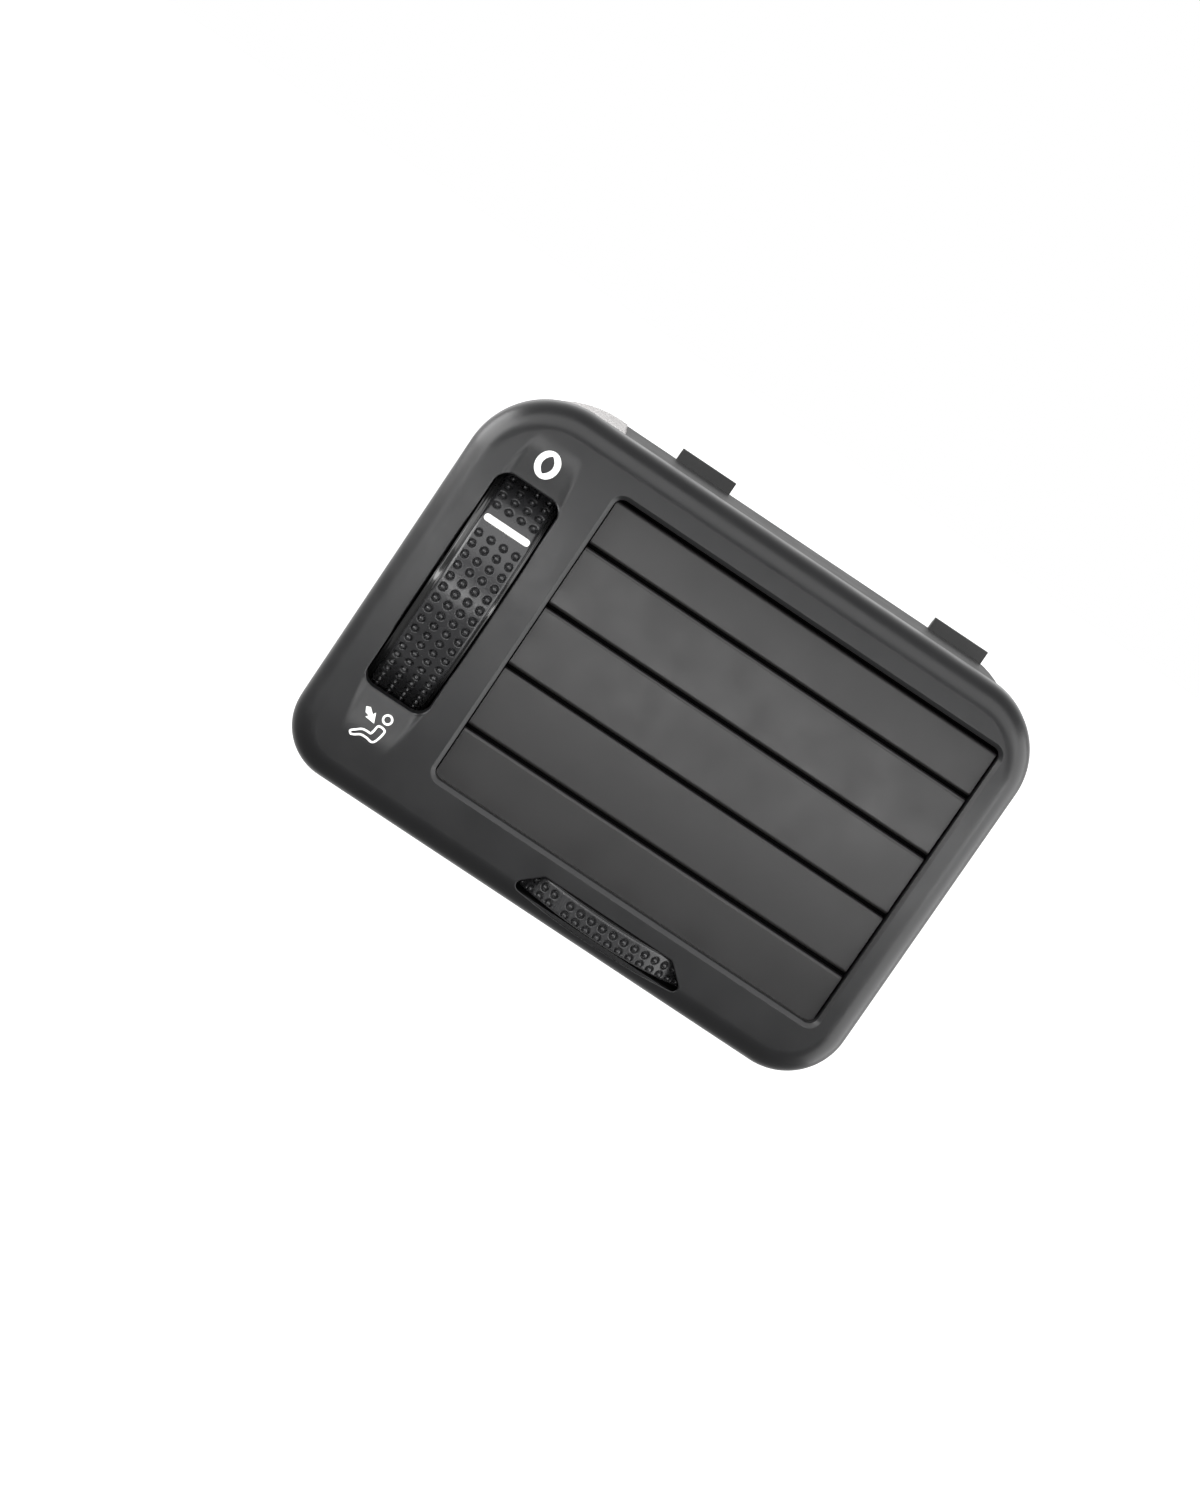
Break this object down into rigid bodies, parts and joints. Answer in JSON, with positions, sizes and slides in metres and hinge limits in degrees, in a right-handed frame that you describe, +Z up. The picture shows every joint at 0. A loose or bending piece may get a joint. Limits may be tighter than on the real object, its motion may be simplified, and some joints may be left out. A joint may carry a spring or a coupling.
{
  "type": "dashboard air vent",
  "caption": "Dashboard air vent with a louvred outlet closed by slats, swinging vanes behind them, two thumbwheels, a ducted rear housing and retaining clips.",
  "frame": {"origin": "centre of the bezel's seat, the rim that rests on the dashboard", "axes": "+X to the right along the slats, +Y back into the dashboard, +Z up"},
  "size_m": [0.15, 0.0745, 0.107],
  "materials": {
    "bezel_skin": "fine grained, satin",
    "housing_plastic": "plain moulded",
    "strip_plastic": "plain moulded",
    "link_plastic": "plain moulded",
    "flow_core": "polished shoulder",
    "flow_grip": "soft, with ringed dots",
    "flow_marker": "white inlay",
    "swing_core": "plain moulded",
    "swing_grip": "soft, with ringed dots",
    "axle_steel": "bright",
    "seal_foam": "closed cell foam",
    "pad_felt": "grey felt",
    "slat_skin": "fine grained, matt",
    "vane_plastic": "plain moulded"
  },
  "bodies": {
    "vent_body": {"duct_housing": "housing_plastic", "bezel": "bezel_skin", "slat_strip_left": "strip_plastic", "slat_strip_right": "strip_plastic", "vane_strip": "strip_plastic", "flow_axle": "axle_steel", "swing_axle": "axle_steel", "inlet_seal": "seal_foam", "corner_pad": "pad_felt"},
    "flow_wheel": {"flow_wheel": "flow_core", "flow_grip": "flow_grip", "flow_marker": "flow_marker"},
    "slat_link": {"slat_link": "link_plastic"},
    "swing_wheel": {"swing_wheel": "swing_core", "swing_grip": "swing_grip"},
    "vane_link": {"vane_link": "link_plastic"},
    "slat_1": {"slat_1": "slat_skin"},
    "slat_2": {"slat_2": "slat_skin"},
    "slat_3": {"slat_3": "slat_skin"},
    "slat_4": {"slat_4": "slat_skin"},
    "slat_5": {"slat_5": "slat_skin"},
    "vane_1": {"vane_1": "vane_plastic"},
    "vane_2": {"vane_2": "vane_plastic"},
    "vane_3": {"vane_3": "vane_plastic"},
    "vane_4": {"vane_4": "vane_plastic"},
    "vane_5": {"vane_5": "vane_plastic"},
    "vane_6": {"vane_6": "vane_plastic"}
  },
  "joints": [
    {"name": "flow_turn", "type": "hinge", "parent": "vent_body", "child": "flow_wheel", "pos_m": [-0.05725, 0.0186, 0.00205], "axis": [1, 0, 0], "range_deg": [0, 80]},
    {"name": "slat_1_tilt", "type": "hinge", "parent": "vent_body", "child": "slat_1", "pos_m": [0.01315, -0.0024, 0.03565], "axis": [1, 0, 0], "range_deg": [0, 80]},
    {"name": "slat_2_tilt", "type": "hinge", "parent": "vent_body", "child": "slat_2", "pos_m": [0.01315, -0.0024, 0.01885], "axis": [1, 0, 0], "range_deg": [0, 80]},
    {"name": "slat_3_tilt", "type": "hinge", "parent": "vent_body", "child": "slat_3", "pos_m": [0.01315, -0.0024, 0.00205], "axis": [1, 0, 0], "range_deg": [0, 80]},
    {"name": "slat_4_tilt", "type": "hinge", "parent": "vent_body", "child": "slat_4", "pos_m": [0.01315, -0.0024, -0.01475], "axis": [1, 0, 0], "range_deg": [0, 80]},
    {"name": "slat_5_tilt", "type": "hinge", "parent": "vent_body", "child": "slat_5", "pos_m": [0.01315, -0.0024, -0.03155], "axis": [1, 0, 0], "range_deg": [0, 80]},
    {"name": "slat_link_pivot", "type": "hinge", "parent": "slat_3", "child": "slat_link", "pos_m": [-0.0446, -0.0024, -0.00395], "axis": [1, 0, 0], "range_deg": [-80, 0]},
    {"name": "swing_turn", "type": "hinge", "parent": "vent_body", "child": "swing_wheel", "pos_m": [0.0128, 0.0178, -0.045], "axis": [0, 0, 1], "range_deg": [-10, 50]},
    {"name": "vane_1_swing", "type": "hinge", "parent": "vent_body", "child": "vane_1", "pos_m": [-0.02935, 0.024, 0], "axis": [0, 0, 1], "range_deg": [-10, 50]},
    {"name": "vane_2_swing", "type": "hinge", "parent": "vent_body", "child": "vane_2", "pos_m": [-0.01235, 0.024, 0], "axis": [0, 0, 1], "range_deg": [-10, 50]},
    {"name": "vane_3_swing", "type": "hinge", "parent": "vent_body", "child": "vane_3", "pos_m": [0.00465, 0.024, 0], "axis": [0, 0, 1], "range_deg": [-10, 50]},
    {"name": "vane_4_swing", "type": "hinge", "parent": "vent_body", "child": "vane_4", "pos_m": [0.02165, 0.024, 0], "axis": [0, 0, 1], "range_deg": [-10, 50]},
    {"name": "vane_5_swing", "type": "hinge", "parent": "vent_body", "child": "vane_5", "pos_m": [0.03865, 0.024, 0], "axis": [0, 0, 1], "range_deg": [-10, 50]},
    {"name": "vane_6_swing", "type": "hinge", "parent": "vent_body", "child": "vane_6", "pos_m": [0.05565, 0.024, 0], "axis": [0, 0, 1], "range_deg": [-10, 50]},
    {"name": "vane_link_pivot", "type": "hinge", "parent": "vane_3", "child": "vane_link", "pos_m": [0.00747, 0.03149, -0.0384], "axis": [0, 0, 1], "range_deg": [-50, 10]}
  ],
  "couplings": [
    {"joint": "slat_1_tilt", "follows": "flow_turn", "ratio": 1},
    {"joint": "slat_2_tilt", "follows": "flow_turn", "ratio": 1},
    {"joint": "slat_3_tilt", "follows": "flow_turn", "ratio": 1},
    {"joint": "slat_4_tilt", "follows": "flow_turn", "ratio": 1},
    {"joint": "slat_5_tilt", "follows": "flow_turn", "ratio": 1},
    {"joint": "slat_link_pivot", "follows": "flow_turn", "ratio": -1},
    {"joint": "vane_1_swing", "follows": "swing_turn", "ratio": 1},
    {"joint": "vane_2_swing", "follows": "swing_turn", "ratio": 1},
    {"joint": "vane_3_swing", "follows": "swing_turn", "ratio": 1},
    {"joint": "vane_4_swing", "follows": "swing_turn", "ratio": 1},
    {"joint": "vane_5_swing", "follows": "swing_turn", "ratio": 1},
    {"joint": "vane_6_swing", "follows": "swing_turn", "ratio": 1},
    {"joint": "vane_link_pivot", "follows": "swing_turn", "ratio": -1}
  ]
}
